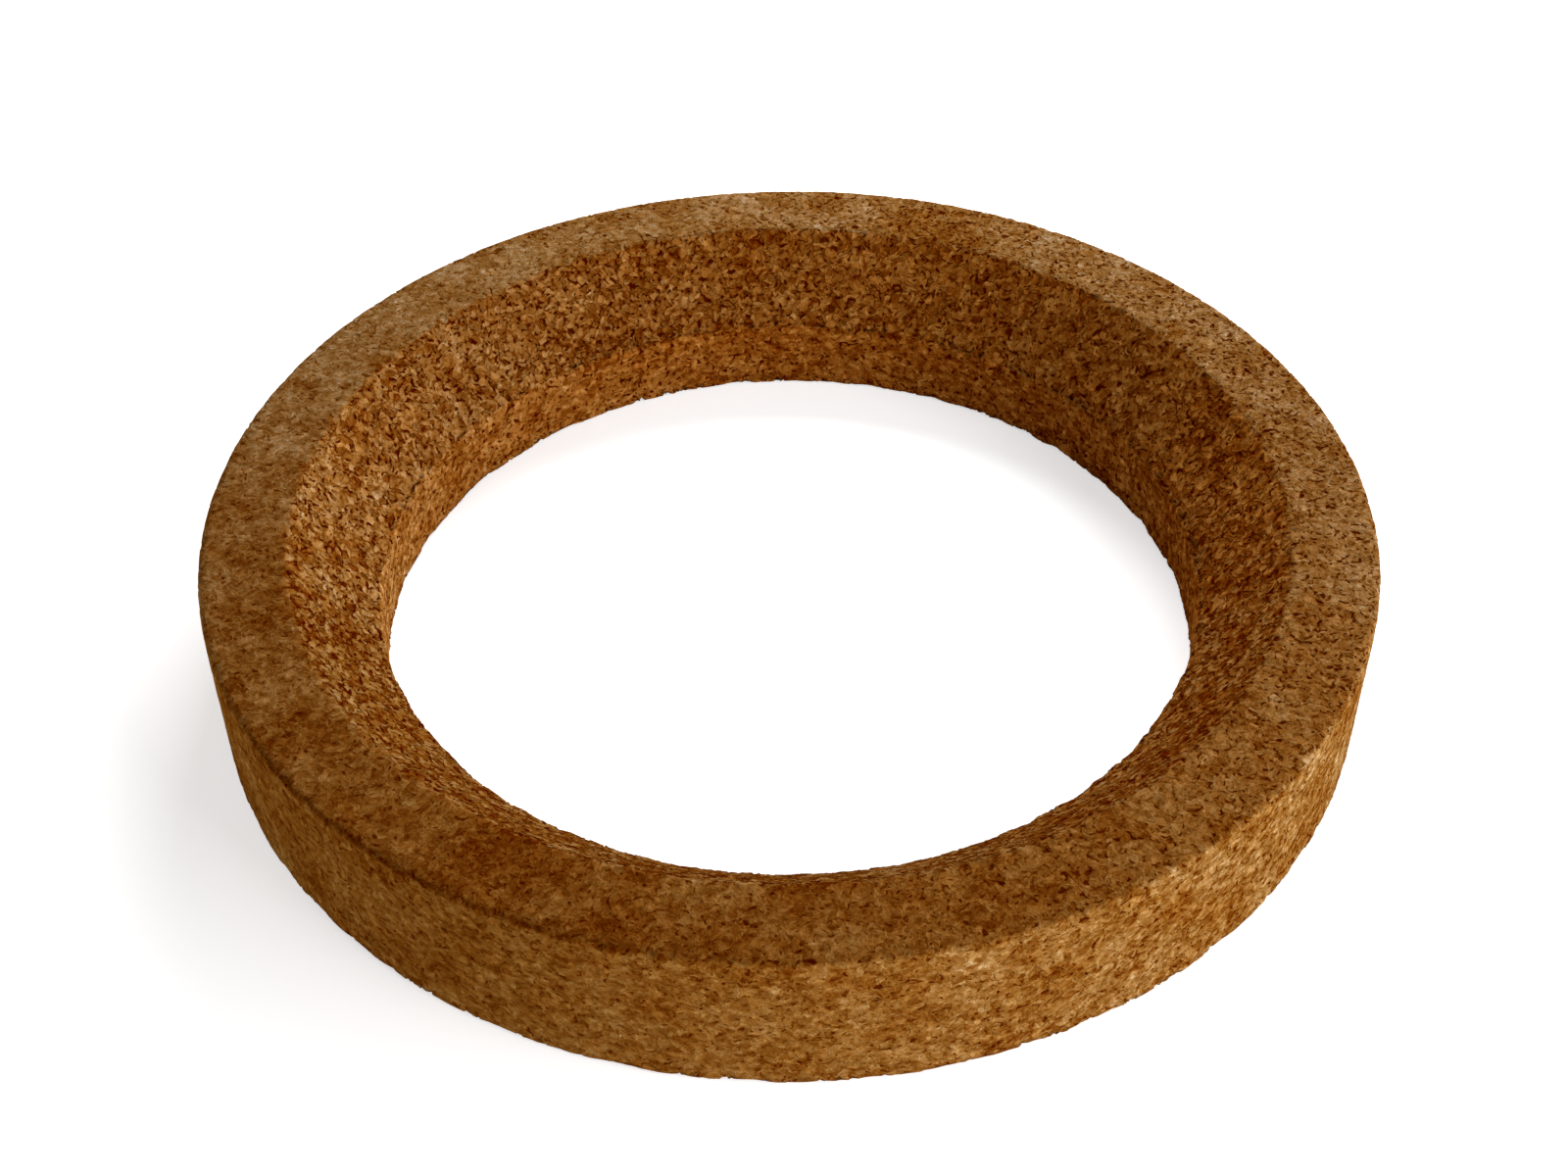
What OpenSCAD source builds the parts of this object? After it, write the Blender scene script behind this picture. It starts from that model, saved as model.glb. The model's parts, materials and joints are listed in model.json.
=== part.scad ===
// Cork ring: a one-piece stand for round-bottomed laboratory flasks.
// The ring is turned about Z and stands on z = 0, with its origin at the centre of the base.
// All sizes are in millimetres and degrees.

/* [Ring] */
// Outside diameter
outer_d = 200; // [190:1:260]
// Height, from the base to the flat top
height = 28; // [20:0.5:40]
// Diameter of the straight bore through the middle
bore_d = 142; // [100:1:150]

/* [Flask seat] */
// Depth of the sloping seat, down from the flat top
seat_depth = 14; // [6:0.5:16]
// Slope of the seat, up from the level
seat_angle = 45; // [38:1:60]

/* [Sanded edges] */
// Radius of the outer rim at the top
rim_round = 1.2; // [0.4:0.1:3]
// Radius where the flat top turns down into the seat
mouth_round = 1.4; // [0.4:0.1:3]
// Radius where the seat turns down into the bore
throat_round = 0.8; // [0.3:0.1:2]
// Radius of the bore's edge at the base
bore_foot_round = 0.6; // [0.3:0.1:1.5]
// Radius of the outer edge at the base
foot_round = 0.8; // [0.3:0.1:2]

/* [Hidden] */

outer_r = outer_d / 2;
bore_r = bore_d / 2;
seat_floor = height - seat_depth;
mouth_r = bore_r + seat_depth / tan(seat_angle);

// Colour of agglomerated cork
cork_colour = [0.55, 0.36, 0.19];

// Facets of the preview around the ring, and steps along each rounded edge
ring_facets = 180;
arc_steps = 8;

// Each corner of the section, counter-clockwise: [radius from the axis, height, edge radius]
SECTION = [
    [bore_r, 0, bore_foot_round],
    [outer_r, 0, foot_round],
    [outer_r, height, rim_round],
    [mouth_r, height, mouth_round],
    [bore_r, seat_floor, throat_round]
];

function point(corner) = [corner[0], corner[1]];
function unit(v) = v / norm(v);
function bearing(v) = atan2(v[1], v[0]);

// Points of the arc of radius r that blends corner b of a counter-clockwise outline.
// a and c are the corners before and after it. A right-hand normal faces out of the outline.
function blended(a, b, c, r) =
    let (
        arriving = unit(b - a),
        leaving = unit(c - b),
        start_bearing = bearing([arriving[1], -arriving[0]]),
        turn = acos(arriving * leaving),
        setback = r * tan(turn / 2),
        centre = b - arriving * setback + [-arriving[1], arriving[0]] * r
    )
    [for (step = [0 : arc_steps])
        let (angle = start_bearing + turn * step / arc_steps)
        centre + r * [cos(angle), sin(angle)]];

// The section with every corner blended by its own radius.
function outline(corners) =
    let (count = len(corners))
    [for (i = [0 : count - 1])
        each blended(point(corners[(i + count - 1) % count]), point(corners[i]),
                     point(corners[(i + 1) % count]), corners[i][2])];

// The whole ring: flat base, upright outer wall, flat top, sloping flask seat and straight bore.
module cork_ring() {
    color(cork_colour)
        rotate_extrude($fn = ring_facets)
            polygon(outline(SECTION));
}

cork_ring();
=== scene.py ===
"""The finish of a cork ring, turned from one block of agglomerated cork for a round flask."""

import json
import math

import bpy
import numpy as np
from mathutils import Matrix, Vector


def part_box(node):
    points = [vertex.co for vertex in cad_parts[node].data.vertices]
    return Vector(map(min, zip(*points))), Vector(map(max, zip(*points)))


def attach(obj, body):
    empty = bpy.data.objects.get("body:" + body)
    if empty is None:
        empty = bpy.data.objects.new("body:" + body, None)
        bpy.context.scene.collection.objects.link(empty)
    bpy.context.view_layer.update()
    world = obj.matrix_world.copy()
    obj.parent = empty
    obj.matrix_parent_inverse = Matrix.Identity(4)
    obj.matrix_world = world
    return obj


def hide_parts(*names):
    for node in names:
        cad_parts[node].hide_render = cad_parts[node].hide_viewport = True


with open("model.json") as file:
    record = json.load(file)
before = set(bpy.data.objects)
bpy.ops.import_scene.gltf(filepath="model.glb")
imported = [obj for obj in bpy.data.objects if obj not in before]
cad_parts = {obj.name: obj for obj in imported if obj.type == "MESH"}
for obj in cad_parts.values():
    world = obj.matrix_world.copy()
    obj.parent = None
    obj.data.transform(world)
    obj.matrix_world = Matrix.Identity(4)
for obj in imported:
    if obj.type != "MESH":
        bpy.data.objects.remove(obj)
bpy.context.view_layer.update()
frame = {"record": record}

# ---------------------------------------------------------------------------
# Sizes of the ring, in millimetres. The frame gives the outside, the height and the bore.

MM = 0.001
lowest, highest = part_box("cork_ring")
OUTER_R = (highest.x - lowest.x) / 2 / MM
HEIGHT = (highest.z - lowest.z) / MM
mounts = {mount["name"]: mount for mount in frame["record"]["mounts"]}
BORE_R = mounts["flask_bore"]["dims"]["r_mm"]

SEAT_DEPTH = 14.0
SEAT_ANGLE = math.radians(45)
SEAT_FLOOR = HEIGHT - SEAT_DEPTH
MOUTH_R = BORE_R + SEAT_DEPTH / math.tan(SEAT_ANGLE)

# Corners of the turned section, counter-clockwise: radius from the axis, height, radius of the
# sanded edge, and how readily grains break out of that edge.
SECTION = [
    (BORE_R, 0.0, 0.6, 1.3),
    (OUTER_R, 0.0, 0.8, 1.0),
    (OUTER_R, HEIGHT, 1.2, 0.30),
    (MOUTH_R, HEIGHT, 1.4, 0.25),
    (BORE_R, SEAT_FLOOR, 0.8, 1.2),
]

# Outward direction of each face of the section: radius, height.
FACES = {
    "top": (0.0, 1.0),
    "seat": (-math.sin(SEAT_ANGLE), math.cos(SEAT_ANGLE)),
    "bore": (-1.0, 0.0),
    "wall": (1.0, 0.0),
    "base": (0.0, -1.0),
}

# The fine skin: spacing of its points up and down the section, columns round the ring, points on
# each rounded edge, and the triangles that stay once it is thinned out.
SKIN_STEP = 0.42
SKIN_COLUMNS = 2300
EDGE_STEPS = 7
SKIN_TRIANGLES = 198000
# How far from a corner grains break out, and how sharply one face gives way to the next.
CHIP_REACH = 1.3
EDGE_BLEND = 12


# ---------------------------------------------------------------------------
# Floor, lamps and camera, in metres, degrees and watts

FLOOR_HALF = 0.55
FLOOR_BRIGHTNESS = 0.88
# How much the floor glows where it is looked at, so that it reads as white.
FLOOR_GLOW = 0.57
# The even light from all round.
AMBIENT = 0.16
RING_MIDDLE = (0.0, 0.0, HEIGHT * MM / 2)
# Square lamps: bearing from the right-hand side, angle above the floor, distance, size, power.
LAMPS = {
    "key": (328, 18, 0.9, 0.6, 9.5),
    "fill": (214, 13, 0.9, 0.6, 1.9),
    "back": (82, 28, 0.45, 0.3, 3.0),
}
SENSOR_WIDTH = 36.0
CAMERA_LENS = 51.38
CAMERA_PLACE = (0.0, -0.29457, 0.27507)
CAMERA_TARGET = (-0.00083, -0.02197, 0.028)
CAMERA_ROLL = math.radians(-0.55)


# ---------------------------------------------------------------------------
# Node maths


class Field:
    """A value that varies over the cork. Python's operators add the nodes that work it out."""

    def __init__(self, tree, socket=None):
        self.tree = tree
        self.socket = socket

    def add(self, kind, settings, inputs, output=0):
        """Adds a node of that kind, its settings first and then its inputs, by their shown names."""
        node = self.tree.nodes.new(kind)
        for name, value in settings.items():
            if name == "stops":
                shape_ramp(node.color_ramp, value)
            else:
                setattr(node, name, value)
        for name, value in inputs.items():
            self.feed(node, name, value)
        return Field(self.tree, node.outputs[output] if len(node.outputs) else None)

    def feed(self, node, name, value):
        """Links or sets the input of that name, or of that number among the inputs in use."""
        in_use = [socket for socket in node.inputs if socket.enabled]
        by_name = {socket.name: socket for socket in reversed(in_use)}
        socket = in_use[name] if isinstance(name, int) else by_name[name]
        if isinstance(value, Field):
            self.tree.links.new(value.socket, socket)
        elif socket.type == "VECTOR" and isinstance(value, (int, float)):
            socket.default_value = (value, value, value)
        else:
            socket.default_value = value

    def maths(self, operation, *values):
        """A Math node, or a Vector Math node if any of the values is a vector or a colour."""
        vectors = any(
            isinstance(value, tuple) or isinstance(value, Field) and value.socket.type != "VALUE"
            for value in values
        )
        kind = "ShaderNodeVectorMath" if vectors else "ShaderNodeMath"
        return self.add(kind, {"operation": operation}, dict(enumerate(values)))

    def __add__(self, other):
        return self.maths("ADD", self, other)

    def __radd__(self, other):
        return self.maths("ADD", other, self)

    def __sub__(self, other):
        return self.maths("SUBTRACT", self, other)

    def __rsub__(self, other):
        return self.maths("SUBTRACT", other, self)

    def __mul__(self, other):
        return self.maths("MULTIPLY", self, other)

    def __rmul__(self, other):
        return self.maths("MULTIPLY", other, self)

    def absolute(self):
        """This number without its sign."""
        return self.maths("ABSOLUTE", self)

    def larger(self, other):
        """The larger of the two, at each place."""
        return self.maths("MAXIMUM", self, other)

    def fade(self, start, end):
        """0 at start and 1 at end, smooth between them. The start may be the larger one."""
        bounds = {"Value": self, "From Min": start, "From Max": end}
        return self.add("ShaderNodeMapRange", {"interpolation_type": "SMOOTHSTEP"}, bounds)

    def noise(self, size, detail=2.0, roughness=0.5, output=0):
        """Cloudy noise at this place, with lumps of about that size."""
        inputs = {"Vector": self, "Scale": 1 / size, "Detail": detail, "Roughness": roughness}
        return self.add("ShaderNodeTexNoise", {"noise_dimensions": "3D"}, inputs, output)

    def cells(self, size, feature, output=0):
        """Random cells of about that size around this place."""
        settings = {"voronoi_dimensions": "3D", "feature": feature}
        inputs = {"Vector": self, "Scale": 1 / size}
        return self.add("ShaderNodeTexVoronoi", settings, inputs, output)

    def along(self, direction):
        """How far this place lies along a direction."""
        return self.maths("DOT_PRODUCT", self, direction).other(1)

    def distance(self, point):
        """How far this place is from a point."""
        return self.maths("DISTANCE", self, point).other(1)

    def other(self, output):
        """Another output of the node that this value comes from, by its number or name."""
        return Field(self.tree, self.socket.node.outputs[output])

    def parts(self):
        """The three numbers of a vector or a colour."""
        node = self.add("ShaderNodeSeparateXYZ", {}, {"Vector": self}).socket.node
        return [Field(self.tree, socket) for socket in node.outputs]


def shape_ramp(ramp, stops):
    """Gives a colour ramp its stops, each a place and a colour."""
    while len(ramp.elements) < len(stops):
        ramp.elements.new(1.0)
    for element, (place, colour) in zip(ramp.elements, stops):
        element.position = place
        element.color = (*colour, 1.0)


# ---------------------------------------------------------------------------
# The cork itself: pressed granules, the seams and voids between them, what turning left, and light
# and shade painted on its sides.
# Places and sizes are in millimetres, and angles run round the ring from its right-hand side.

# Sizes of a granule and of the fibres in it.
GRANULE = 1.25
FIBRE = 0.8
# How far the granules were pushed out of place, and how far their outlines curl.
DRIFT = 3.0
CURL = 2.2
# Granules were pressed a little flatter than they are wide.
PRESSED = (1.0, 1.0, 1.12)
# What noise varies round, taken away where noise is used as a shift.
MIDDLE = (0.5, 0.5, 0.5)
# Shifts that take noise to places of its own, clear of the noise that is used unshifted.
TEAR_PLACE = (40.0, 0.0, 0.0)
CURL_PLACE = (0.0, 40.0, 0.0)

# Single large voids: angle, radius, height and size.
LARGE_VOIDS = [
    (188, 76.5, 19.5, 0.85),
    (172, 71.8, 14.8, 0.65),
    (12, 74.3, 17.3, 0.70),
    (286, 97.9, 28.0, 0.65),
    (266, 92.2, 28.0, 0.60),
    (5, 87.3, 28.0, 0.60),
    (324, 89.3, 28.0, 0.50),
    (277, 100.0, 22.0, 0.70),
]
# Soft patches on the top, partly stains and partly painted shade and light: angle, radius, reach,
# and change of shade, darker below 0.
STAIN_AND_PAINTED_SHADE_PATCHES = [
    (38, 90.0, 14, -0.04),
    (70, 91.0, 26, -0.13),
    (135, 93.0, 20, 0.05),
    (152, 85.5, 5, -0.12),
    (158, 93.0, 36, 0.06),
    (244, 92.0, 26, -0.07),
    (345, 93.0, 22, 0.04),
]
# How deep an edge goes back where grains broke out of it, and where it is only worn.
BREAK_DEPTH = 0.9
WEAR_DEPTH = 0.35
# The side where a dark line of painted shade runs under the outer rim, in its rounding.
SHADED_RIM_SIDE = 232
# The side where fresh cork shows in the chips of the outer rim.
CHIPPED_SIDE = 325
# Directions in which the ring changes from one side to the other.
BRIGHT_SIDE = (0.97, 0.26, 0.0)
ROUGH_SIDE = (0.85, 0.35, 0.0)
BACK = (0.0, 1.0, 0.0)
SLANT = (0.7, 0.7, 0.0)


def spot(angle, radius, height=0.0):
    """The place at that angle, radius and height."""
    around = math.radians(angle)
    return (radius * math.cos(around), radius * math.sin(around), height)


class Cork:
    """The block's granules at a place in it, and the face it was cut to."""

    def __init__(self, place, face):
        self.place = place
        self.face = face
        pressed = place * PRESSED
        drift = (pressed.noise(4.0, detail=1.0, output=1) - MIDDLE) * DRIFT
        curl = (pressed.noise(1.3, detail=1.0, output=1) - MIDDLE) * CURL
        self.bent = pressed + drift + curl * 0.4
        self.ragged = place + curl * 0.5
        nearest = self.bent.cells(GRANULE, "F1")
        self.tone, self.rise, self.luck = nearest.other(1).parts()
        self.outline = (self.bent.cells(GRANULE, "F2") - nearest) * GRANULE
        self.fibres = (pressed + curl).noise(FIBRE, detail=2.0, roughness=0.6)
        self.across = self.toward(BRIGHT_SIDE)
        rougher = place.along(ROUGH_SIDE).fade(-0.6 * OUTER_R, OUTER_R)
        self.torn = self.by_face(
            top=rougher * 0.37 + 0.15,
            seat=0.62 - self.across * 0.12,
            bore=0.5,
            wall=rougher * 0.20 + 0.18,
            base=0.2,
        )
        self.voids = self.open_voids()
        self.curls = self.pale_curls()
        self.depth = self.relief()
        self.height = place.parts()[2]
        self.radius = (place * (1.0, 1.0, 0.0)).distance((0.0, 0.0, 0.0))

    def by_face(self, **settings):
        """A setting that differs from face to face. A face that isn't named gets 0."""
        return sum(self.face[name] * value for name, value in settings.items())

    def toward(self, direction):
        """How far this place lies to one side of the ring, from 0 to 1."""
        return self.place.along(direction).fade(-OUTER_R, OUTER_R)

    def outer_side(self, angle):
        """1 on a stretch of the outer rim round that angle, and 0 elsewhere."""
        return self.place.along(spot(angle, 1.0)).fade(0.86 * OUTER_R, 0.97 * OUTER_R)

    def rough(self, least, more):
        """A strength that is least where the cork is smooth, with more where it is torn."""
        return self.torn * more + least

    def open_voids(self):
        """Every kind of void in the cork, from 0 where it is sound to about 1."""
        voids = (self.pits() * 1.5).larger(self.tears()).larger(self.nicks()) * (self.torn + 0.28)
        for angle, radius, height, size in LARGE_VOIDS:
            away = self.ragged.distance(spot(angle, radius, height))
            voids = voids.larger(away.fade(size * 1.15, size * 0.55))
        return voids

    def pits(self):
        """Pits where granules do not meet."""
        gape = self.bent.noise(0.85, detail=0.0) + self.torn * 0.11
        gape = gape + self.place.noise(4.5, detail=0.0).fade(0.60, 0.75) * 0.06
        seam = (gape.fade(0.67, 0.84) * 0.6 - self.outline).fade(-0.14, 0.40)
        return seam * gape.fade(0.66, 0.72)

    def tears(self):
        """Thin curved slits, open along part of their length."""
        apart = self.bent + TEAR_PLACE
        line = (apart.noise(1.5, detail=1.0) - 0.5).absolute()
        rarer = self.by_face(seat=0.07, bore=0.12, wall=0.02)
        gape = (apart.noise(1.0, detail=0.0) + self.torn * 0.18 - rarer).fade(0.64, 0.77)
        return line.fade(0.12, 0.01) * gape

    def nicks(self):
        """Specks where fibres pulled out."""
        return self.fibres.fade(0.38, 0.22) * self.rough(0.1, 0.8)

    def pale_curls(self):
        """Fine raised shavings of paler cork."""
        apart = self.bent + CURL_PLACE
        line = (apart.noise(1.3, detail=1.0) - 0.5).absolute()
        return line.fade(0.07, 0.0) * apart.noise(1.2, detail=0.0).fade(0.48, 0.62)

    def relief(self):
        """Height of the surface against the turned face: never above it."""
        granule_step = self.torn * 0.20 + self.face["seat"] * 0.12
        step = self.rise * self.outline.fade(0.0, 0.4) * granule_step
        wool = (1.0 - self.fibres) * self.rough(0.12, 0.2)
        shaving = (1.0 - self.curls) * self.rough(0.05, 0.06)
        pit = self.voids * self.rough(0.07, 0.16)
        return 0.0 - (step + wool + shaving + pit)

    def broken(self):
        """Granules that broke out of an edge."""
        return self.face["edge"] * self.luck.fade(0.60, 0.66) * self.outline.fade(0.0, 0.4)

    def chips(self):
        """How far the edges have gone back: never outward."""
        worn = self.place.noise(7.0, detail=1.0).fade(0.40, 0.75)
        return 0.0 - (self.broken() * BREAK_DEPTH + self.face["edge"] * worn * WEAR_DEPTH)

    def painted_rim_shade(self):
        """Painted shade in a line round the outer rim, and more thinly on the wall below it."""
        # Height on the 45-degree line across the rim, so that the painted shade keeps to the
        # rounding.
        slope = self.height + (self.radius - OUTER_R) - (HEIGHT - 0.4)
        rim = slope.absolute().fade(0.9, 0.1) * self.radius.fade(OUTER_R - 3.0, OUTER_R - 1.0)
        smear = self.place.noise(5.0, detail=1.0).fade(0.30, 0.55)
        below = self.face["wall"] * self.height.fade(HEIGHT - 14.0, HEIGHT - 1.0)
        return self.outer_side(SHADED_RIM_SIDE) * (rim * smear + below * 0.15)

    def fresh(self):
        """Clean cork in the outer rim's chips."""
        rim = self.height.fade(HEIGHT - 4.0, HEIGHT - 2.0)
        return self.outer_side(CHIPPED_SIDE) * self.broken() * rim

    def stains_and_painted_shade(self):
        """Darker and paler patches on the top: partly stains, partly painted shade and light."""
        patches = (
            self.place.distance(spot(angle, radius, HEIGHT)).fade(reach, 0.0) * change
            for angle, radius, reach, change in STAIN_AND_PAINTED_SHADE_PATCHES
        )
        return self.face["top"] * sum(patches)

    def nearer(self):
        """1 on the near part of the ring and 0 on the rest."""
        return self.place.along(BACK).fade(0.10 * OUTER_R, -0.35 * OUTER_R)

    def painted_side_light(self):
        """Painted light: how much a face looks to the bright side, about -1 to 1, for colour painted
        greyer where the light falls and warmer in shade. Seat and bore look inward.
        """
        rightward = self.across * 2.0 - 1.0
        backward = self.toward(BACK) * 2.0 - 1.0
        aslant = self.toward(SLANT) * 2.0 - 1.0
        seat = self.nearer() * 0.9 - aslant * 1.2
        return self.by_face(top=backward, seat=seat, bore=aslant * -1.1, wall=rightward)


# ---------------------------------------------------------------------------
# The ring's skin


def turned_section():
    """Points round the section, each with its outward direction, both as (radius, height)."""
    corners = [np.array(corner[:2]) for corner in SECTION]
    points, normals = [], []
    for i, corner in enumerate(corners):
        arriving = corner - corners[i - 1]
        leaving = corners[(i + 1) % len(corners)] - corner
        arriving = arriving / np.linalg.norm(arriving)
        leaving = leaving / np.linalg.norm(leaving)
        radius = SECTION[i][2]
        turn = math.acos(arriving @ leaving)
        inward = np.array([-arriving[1], arriving[0]])
        centre = corner - arriving * radius * math.tan(turn / 2) + inward * radius
        start = math.atan2(-arriving[0], arriving[1])
        bearings = np.linspace(start, start + turn, EDGE_STEPS)
        arc = [np.array([math.cos(bearing), math.sin(bearing)]) for bearing in bearings]
        if points:
            fill_flat(points, normals, centre + radius * arc[0], arc[0])
        points += [centre + radius * out for out in arc]
        normals += arc
    fill_flat(points, normals, points[0], normals[0])
    return np.array(points), np.array(normals)


def fill_flat(points, normals, end, out):
    """Adds evenly spaced points from the last point along a flat stretch, short of its end."""
    start = points[-1]
    count = max(2, round(float(np.linalg.norm(end - start)) / SKIN_STEP))
    for share in np.arange(1, count) / count:
        points.append(start + (end - start) * share)
        normals.append(out)


def face_weights(points, normals):
    """How far each point of the section belongs to each face and to a chipped edge, from 0 to 1."""
    facing = {
        name: np.clip(normals @ np.array(out), 0, 1) ** EDGE_BLEND for name, out in FACES.items()
    }
    weights = {name: share / sum(facing.values()) for name, share in facing.items()}
    chipped = np.zeros(len(points))
    for radius, height, _, proneness in SECTION:
        distance = np.linalg.norm(points - (radius, height), axis=1)
        chipped = np.maximum(chipped, proneness * np.exp(-((distance / CHIP_REACH) ** 2)))
    weights["edge"] = chipped
    return weights


def fine_skin():
    """A closed skin far finer than the granules, as turned and before any of them shows."""
    points, normals = turned_section()
    rows, columns = len(points), SKIN_COLUMNS
    angles = np.arange(columns) / columns * 2 * math.pi
    radii, heights = points[:, :1], points[:, 1:]
    heights = np.broadcast_to(heights, (rows, columns))
    places = np.stack([radii * np.cos(angles), radii * np.sin(angles), heights], axis=-1)
    row, column = np.arange(rows)[:, None], np.arange(columns)[None, :]
    next_row, next_column = (row + 1) % rows, (column + 1) % columns
    corners = [(row, column), (row, next_column), (next_row, next_column), (next_row, column)]
    quads = np.stack([a_row * columns + a_column for a_row, a_column in corners], axis=-1)
    mesh = bpy.data.meshes.new("fine_skin")
    mesh.vertices.add(rows * columns)
    mesh.vertices.foreach_set("co", (places * MM).astype(np.float32).ravel())
    mesh.loops.add(quads.size)
    mesh.loops.foreach_set("vertex_index", quads.astype(np.int32).ravel())
    mesh.polygons.add(rows * columns)
    mesh.polygons.foreach_set("loop_start", np.arange(0, quads.size, 4, dtype=np.int32))
    for name, weight in face_weights(points, normals).items():
        layer = mesh.attributes.new(name, "FLOAT", "POINT")
        layer.data.foreach_set("value", np.repeat(weight, columns).astype(np.float32))
    mesh.update()
    return mesh


def grain_relief():
    """Geometry nodes that sink the grain and chips into the skin and note where it was cut."""
    tree = bpy.data.node_groups.new("grain_relief", "GeometryNodeTree")
    for side in ("INPUT", "OUTPUT"):
        tree.interface.new_socket("Skin", in_out=side, socket_type="NodeSocketGeometry")
    nodes = Field(tree)
    skin = nodes.add("NodeGroupInput", {}, {})
    place = nodes.add("GeometryNodeInputPosition", {}, {}) * (1 / MM)
    out = nodes.add("GeometryNodeInputNormal", {}, {})
    face = {
        name: nodes.add("GeometryNodeInputNamedAttribute", {"data_type": "FLOAT"}, {"Name": name})
        for name in (*FACES, "edge")
    }
    cork = Cork(place, face)
    depth = (cork.depth + cork.chips()) * MM
    marked = nodes.add(
        "GeometryNodeStoreNamedAttribute",
        {"data_type": "FLOAT_VECTOR", "domain": "POINT"},
        {"Geometry": skin, "Name": "cut_place", "Value": place},
    )
    sunk = nodes.add("GeometryNodeSetPosition", {}, {"Geometry": marked, "Offset": out * depth})
    nodes.add("NodeGroupOutput", {}, {"Skin": sunk})
    return tree


def placed(name, data):
    """A new object with that data, in the scene."""
    thing = bpy.data.objects.new(name, data)
    bpy.context.scene.collection.objects.link(thing)
    return thing


def applied(mesh, name, kind, **settings):
    """A new mesh with one modifier applied to it. The old one is deleted."""
    holder = placed(name, mesh)
    modifier = holder.modifiers.new(name, kind)
    for setting, value in settings.items():
        setattr(modifier, setting, value)
    shown = holder.evaluated_get(bpy.context.evaluated_depsgraph_get())
    result = bpy.data.meshes.new_from_object(shown)
    bpy.data.objects.remove(holder)
    bpy.data.meshes.remove(mesh)
    return result


def cork_ring():
    """The ring: its skin with the grain sunk into it, thinned where it is plain."""
    mesh = applied(fine_skin(), "grain", "NODES", node_group=grain_relief())
    triangles = 2 * len(mesh.polygons)
    mesh = applied(mesh, "thinned", "DECIMATE", ratio=SKIN_TRIANGLES / triangles)
    mesh.name = "cork_ring_skin"
    mesh.polygons.foreach_set("use_smooth", np.ones(len(mesh.polygons), dtype=bool))
    mesh.materials.append(sanded_cork())
    return placed("turned_cork_ring", mesh)


# ---------------------------------------------------------------------------
# Finishes

# Browns from the darkest void to the palest curl, each with its shade from 0 to 1.
CORK_TONES = [
    (0.00, (0.056, 0.0030, 0.0001)),
    (0.20, (0.094, 0.0160, 0.0004)),
    (0.35, (0.145, 0.0420, 0.0030)),
    (0.50, (0.220, 0.0870, 0.0150)),
    (0.65, (0.310, 0.1450, 0.0400)),
    (0.80, (0.430, 0.2350, 0.0880)),
    (1.00, (0.640, 0.4100, 0.2100)),
]
MIDDLE_TONE = 0.52
CONTRAST = 0.62
PLAIN = (1.0, 1.0, 1.0)
# What greyer cork has more of: green a little, and blue a lot.
GREYER = (0.0, 0.28, 0.9)
# Painted light: how much greyer the colour is painted on faces turned to the bright side, and warmer
# on the shaded others.
PAINTED_LIGHT_GREYING = 0.5
# How each turned face differs from plain cork in colour: partly its own colour as cut, and partly
# painted light that makes the top darker and the seat, bore and wall brighter than their light
# alone.
FACE_TINTS_AND_PAINTED_LIGHT = {
    "top": (0.93, 0.93, 1.0),
    "seat": (1.2, 1.1, 1.0),
    "bore": (1.3, 1.1, 0.8),
    "wall": (1.2, 1.2, 1.1),
    "base": PLAIN,
}
# How strongly each trait of the cork changes its shade on each face.
SEAM_SHADES = {"top": 0.08, "seat": 0.45, "bore": 0.25, "wall": 0.10, "base": 0.10}
GRANULE_SHADES = {"top": 0.26, "seat": 0.72, "bore": 0.45, "wall": 0.30, "base": 0.30}
FIBRE_SHADES = {"top": 0.90, "seat": 0.90, "bore": 0.90, "wall": 0.80, "base": 0.90}
LAYER_SHADES = {"top": 0.60, "seat": 0.70, "bore": 1.10, "wall": 0.80, "base": 0.80}
# Painted light: how much paler each face is painted toward the bright side, darker below 0.
PAINTED_SIDE_SHADES = {"top": 0.10, "bore": -0.10, "wall": -0.05}
# How much these darken the cork, or lighten it.
# The voids' darkening: partly their dark inside, partly painted shade in their depth.
VOID_DARKNESS_AND_PAINTED_SHADE = 0.42
# Painted shade along the outer rim's rounding.
PAINTED_RIM_DARKENING = 0.2
# Painted shade on the near part of the seat.
NEAR_SEAT_PAINTED_SHADE = 0.14
FRESH_SHADE = 0.6
CURL_SHADE = 0.15


def cleared(owner):
    """The empty node tree of a material or a world."""
    owner.use_nodes = True
    owner.node_tree.nodes.clear()
    return Field(owner.node_tree)


def grain_shade(cork, patches):
    """Light and dark of granules, seams, fibres, curls and layers, round 0."""
    place = cork.place
    seam = cork.outline.fade(0.4, 0.0) * place.noise(1.6, detail=0.0).fade(0.40, 0.62)
    fine = place.noise(0.3, detail=1.0) - 0.5
    layers = (place * (1.0, 1.0, 1.35)).noise(1.9, detail=1.0) - 0.5
    shade = (cork.tone - 0.5) * cork.by_face(**GRANULE_SHADES)
    shade = shade - seam * cork.by_face(**SEAM_SHADES)
    shade = shade + (cork.fibres - 0.5) * cork.by_face(**FIBRE_SHADES)
    shade = shade + cork.curls * CURL_SHADE
    shade = shade + fine * (cork.across * 0.4 + 0.25)
    shade = shade + layers * cork.by_face(**LAYER_SHADES)
    return shade + patches * 0.5


def painted_light_and_wear(cork):
    """Painted light and shade of the sides, the near seat and the outer rim, stains that are partly
    painted shade, and fresh chips, round 0.
    """
    shade = (cork.across - 0.5) * cork.by_face(**PAINTED_SIDE_SHADES) + cork.stains_and_painted_shade()
    shade = shade - cork.nearer() * cork.face["seat"] * NEAR_SEAT_PAINTED_SHADE
    return shade - cork.painted_rim_shade() * PAINTED_RIM_DARKENING + cork.fresh() * FRESH_SHADE


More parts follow.
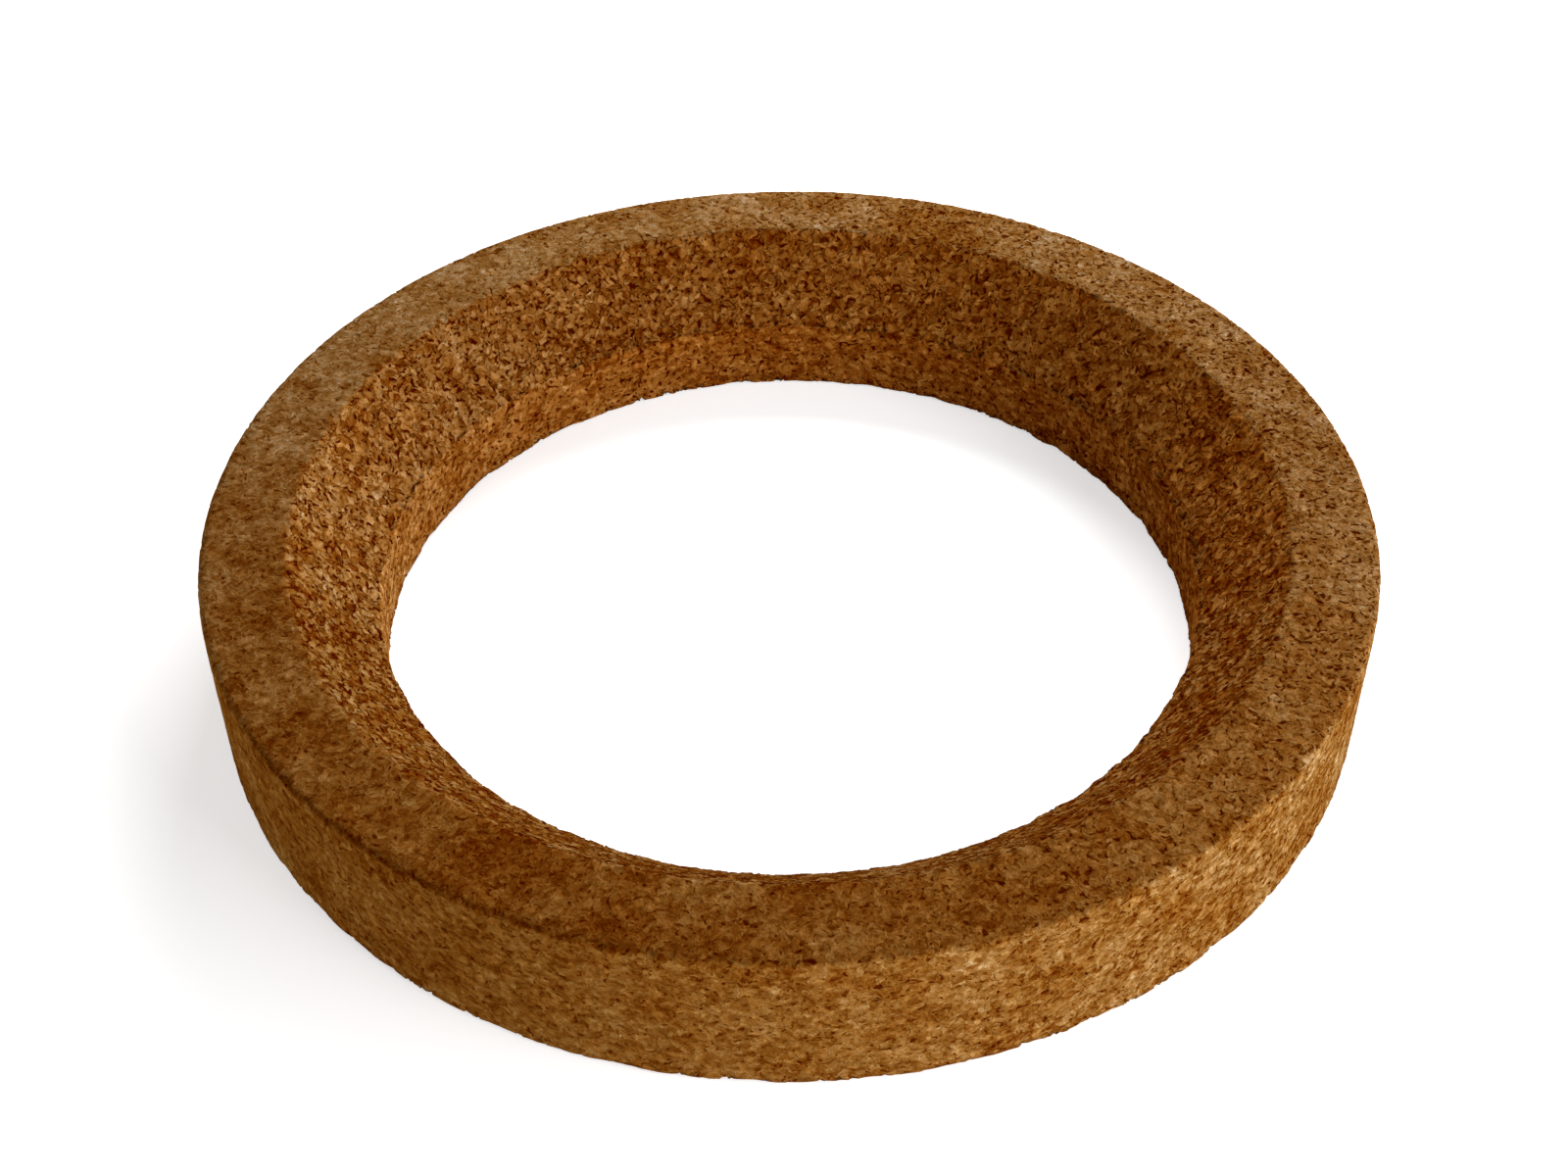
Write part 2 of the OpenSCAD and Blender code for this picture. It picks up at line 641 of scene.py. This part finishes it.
def sanded_cork():
    """Agglomerated cork: granules of several browns, dark seams and voids, on turned faces, with
    light and shade painted on its sides.
    """
    material = bpy.data.materials.new("sanded_cork")
    nodes = cleared(material)
    place = nodes.add("ShaderNodeAttribute", {"attribute_name": "cut_place"}, {}, output=1)
    face = {
        name: nodes.add("ShaderNodeAttribute", {"attribute_name": name}, {}, output=2)
        for name in (*FACES, "edge")
    }
    cork = Cork(place, face)
    patches = place.noise(10.0, detail=1.0) - 0.5
    spread = cork.by_face(
        top=1.04, seat=0.74, bore=0.92, wall=cork.across * 0.35 + 0.94, base=0.7
    )
    tone = grain_shade(cork, patches) * spread * CONTRAST + MIDDLE_TONE
    # Painted light and shade join the tone here, with the voids' partly painted shade.
    tone = tone + painted_light_and_wear(cork) - cork.voids * VOID_DARKNESS_AND_PAINTED_SHADE
    browns = nodes.add("ShaderNodeValToRGB", {"stops": CORK_TONES}, {"Fac": tone})
    # Face tints with painted light: greyer where the light falls and warmer in shade.
    tint = cork.by_face(**FACE_TINTS_AND_PAINTED_LIGHT) * (cork.painted_side_light() * PAINTED_LIGHT_GREYING * GREYER + PLAIN)
    hue = (cork.luck - 0.5) * 0.5 + patches * 0.8 + cork.stains_and_painted_shade() * 3.0
    bump = nodes.add(
        "ShaderNodeBump", {}, {"Strength": 1.0, "Distance": MM, "Height": cork.depth}
    )
    principled = nodes.add(
        "ShaderNodeBsdfPrincipled",
        {},
        {
            "Base Color": browns * tint * (hue * GREYER + PLAIN),
            "Roughness": 0.9,
            "Specular IOR Level": 0.0,
            "Normal": bump,
        },
    )
    nodes.add("ShaderNodeOutputMaterial", {}, {"Surface": principled})
    return material


def looked_at(nodes):
    """1 for what the camera sees, itself or in something shiny or clear, and 0 otherwise."""
    rays = nodes.add("ShaderNodeLightPath", {}, {})
    return rays.larger(rays.other("Is Glossy Ray")).larger(rays.other("Is Transmission Ray"))


def pale_floor():
    """A plain pale surface that glows a little where it is looked at, so that it reads as white."""
    material = bpy.data.materials.new("pale_floor")
    nodes = cleared(material)
    principled = nodes.add(
        "ShaderNodeBsdfPrincipled",
        {},
        {
            "Base Color": (FLOOR_BRIGHTNESS, FLOOR_BRIGHTNESS, FLOOR_BRIGHTNESS, 1.0),
            "Roughness": 0.9,
            "Specular IOR Level": 0.1,
            "Emission Color": looked_at(nodes),
            "Emission Strength": FLOOR_GLOW,
        },
    )
    nodes.add("ShaderNodeOutputMaterial", {}, {"Surface": principled})
    return material


# ---------------------------------------------------------------------------
# Stage, light and camera


def floor():
    """The plain pale floor that the ring stands on."""
    half = FLOOR_HALF
    corners = [(-half, -half, 0), (half, -half, 0), (half, half, 0), (-half, half, 0)]
    mesh = bpy.data.meshes.new("floor")
    mesh.from_pydata(corners, [], [(0, 1, 2, 3)])
    mesh.materials.append(pale_floor())
    return placed("floor", mesh)


def softbox(name, azimuth, elevation, distance, size, power):
    """A square soft lamp that faces the ring."""
    lamp = bpy.data.lights.new(name, "AREA")
    lamp.shape = "SQUARE"
    lamp.size = size
    lamp.energy = power
    up = math.radians(elevation)
    holder = placed(name, lamp)
    holder.location = spot(azimuth, distance * math.cos(up), distance * math.sin(up))
    view = Vector(RING_MIDDLE) - holder.location
    holder.rotation_euler = view.to_track_quat("-Z", "Y").to_euler()


def studio_world():
    """Even light from all round, and white where the camera looks past the floor."""
    world = bpy.data.worlds.new("studio")
    bpy.context.scene.world = world
    nodes = cleared(world)
    grey = AMBIENT + looked_at(nodes) * (1 - AMBIENT)
    background = nodes.add("ShaderNodeBackground", {}, {"Color": grey, "Strength": 1.0})
    nodes.add("ShaderNodeOutputWorld", {}, {"Surface": background})


def camera():
    """Looks down on the ring from the front, at about 40 degrees."""
    lens = bpy.data.cameras.new("camera")
    lens.sensor_width = SENSOR_WIDTH
    lens.lens = CAMERA_LENS
    view = Vector(CAMERA_TARGET) - Vector(CAMERA_PLACE)
    turn = view.to_track_quat("-Z", "Y").to_matrix().to_4x4()
    roll = Matrix.Rotation(CAMERA_ROLL, 4, "Z")
    holder = placed("camera", lens)
    holder.matrix_world = Matrix.Translation(CAMERA_PLACE) @ turn @ roll
    bpy.context.scene.camera = holder


ring = cork_ring()
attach(ring, "root")
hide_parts("cork_ring")
floor()
for lamp_name, lamp_settings in LAMPS.items():
    softbox(lamp_name, *lamp_settings)
studio_world()
camera()
bpy.context.scene.view_settings.view_transform = "Standard"
